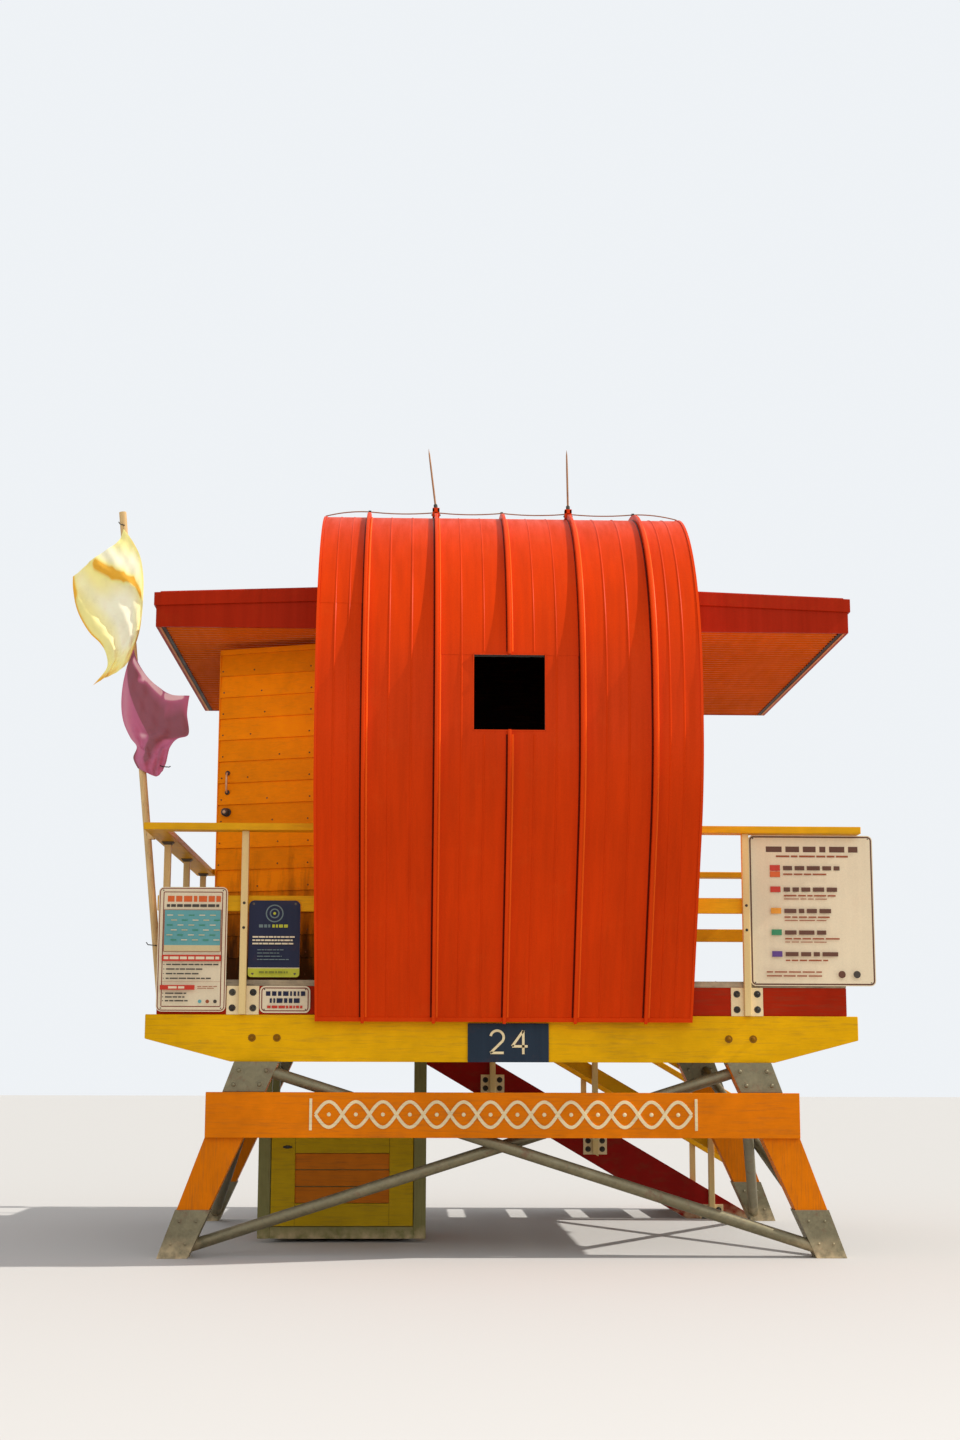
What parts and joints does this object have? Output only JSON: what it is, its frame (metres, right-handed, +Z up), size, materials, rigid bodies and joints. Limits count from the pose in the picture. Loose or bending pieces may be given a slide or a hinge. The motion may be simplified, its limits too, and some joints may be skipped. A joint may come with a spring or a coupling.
{
  "type": "lifeguard tower",
  "caption": "Lifeguard tower on raked legs: railed deck, hut with a leaning ribbed shell, side roofs, rear stair, hinged door and flagpole.",
  "frame": {"origin": "on the ground, midway between the front and back legs and between the left and right legs", "axes": "+X right as seen from the land side, +Y towards the ocean, +Z up"},
  "size_m": [5.406, 5.2147, 5.4834],
  "materials": {
    "shell_paint": "satin, sun-faded",
    "wall_paint": "painted clapboard",
    "fascia_paint": "satin",
    "soffit_paint": "ribbed, satin",
    "beam_paint": "painted timber, chipped",
    "rail_paint": "painted timber",
    "leg_paint": "painted timber, worn",
    "board_paint": "painted timber",
    "rim_paint": "painted timber, worn",
    "post_paint": "cream enamel",
    "deck_wood": "weathered",
    "joist_wood": "weathered",
    "stringer_paint": "painted timber",
    "dark_steel": "weathered galvanised steel",
    "plate_slate": "matt",
    "sign_panel": "semi-gloss",
    "locker_paint": "painted timber",
    "locker_grey": "painted timber",
    "hardware": "satin",
    "yellow_cloth": "woven",
    "purple_cloth": "woven"
  },
  "bodies": {
    "tower": {"back_legs": "leg_paint", "back_rails": "rail_paint", "beams": "beam_paint", "deck_joists": "joist_wood", "decking": "deck_wood", "flagpole": "hardware", "foot_shoes": "dark_steel", "front_braces": "dark_steel", "front_legs": "leg_paint", "front_rails": "rail_paint", "head_plates": "dark_steel", "landing": "deck_wood", "landing_rails": "rail_paint", "left_wall_back": "wall_paint", "left_wall_front": "wall_paint", "left_wall_top": "wall_paint", "left_wing": "soffit_paint", "lightning_rods": "hardware", "locker_body": "locker_paint", "locker_front": "locker_paint", "locker_lid": "locker_grey", "locker_posts": "locker_grey", "long_rim_boards": "rim_paint", "name_board": "board_paint", "number_plate": "plate_slate", "ocean_wall": "wall_paint", "purple_flag": "purple_cloth", "railing_plates": "post_paint", "railing_posts": "post_paint", "right_wall": "wall_paint", "right_wing": "soffit_paint", "shell": "shell_paint", "side_braces": "dark_steel", "side_rails": "rail_paint", "side_rim_boards": "rim_paint", "sign_boards": "sign_panel", "stair_posts": "post_paint", "stair_rails": "rail_paint", "stair_stringers": "stringer_paint", "stair_treads": "deck_wood", "standing_seams": "shell_paint", "wing_fascias": "fascia_paint", "yellow_flag": "yellow_cloth"},
    "door": {"door_leaf": "wall_paint", "door_hardware": "hardware"}
  },
  "joints": [
    {"name": "door_hinge", "type": "hinge", "parent": "tower", "child": "door", "pos_m": [-1.19, -1.325, 1.762], "axis": [0, 0, 1], "range_deg": [-69, 21]}
  ]
}
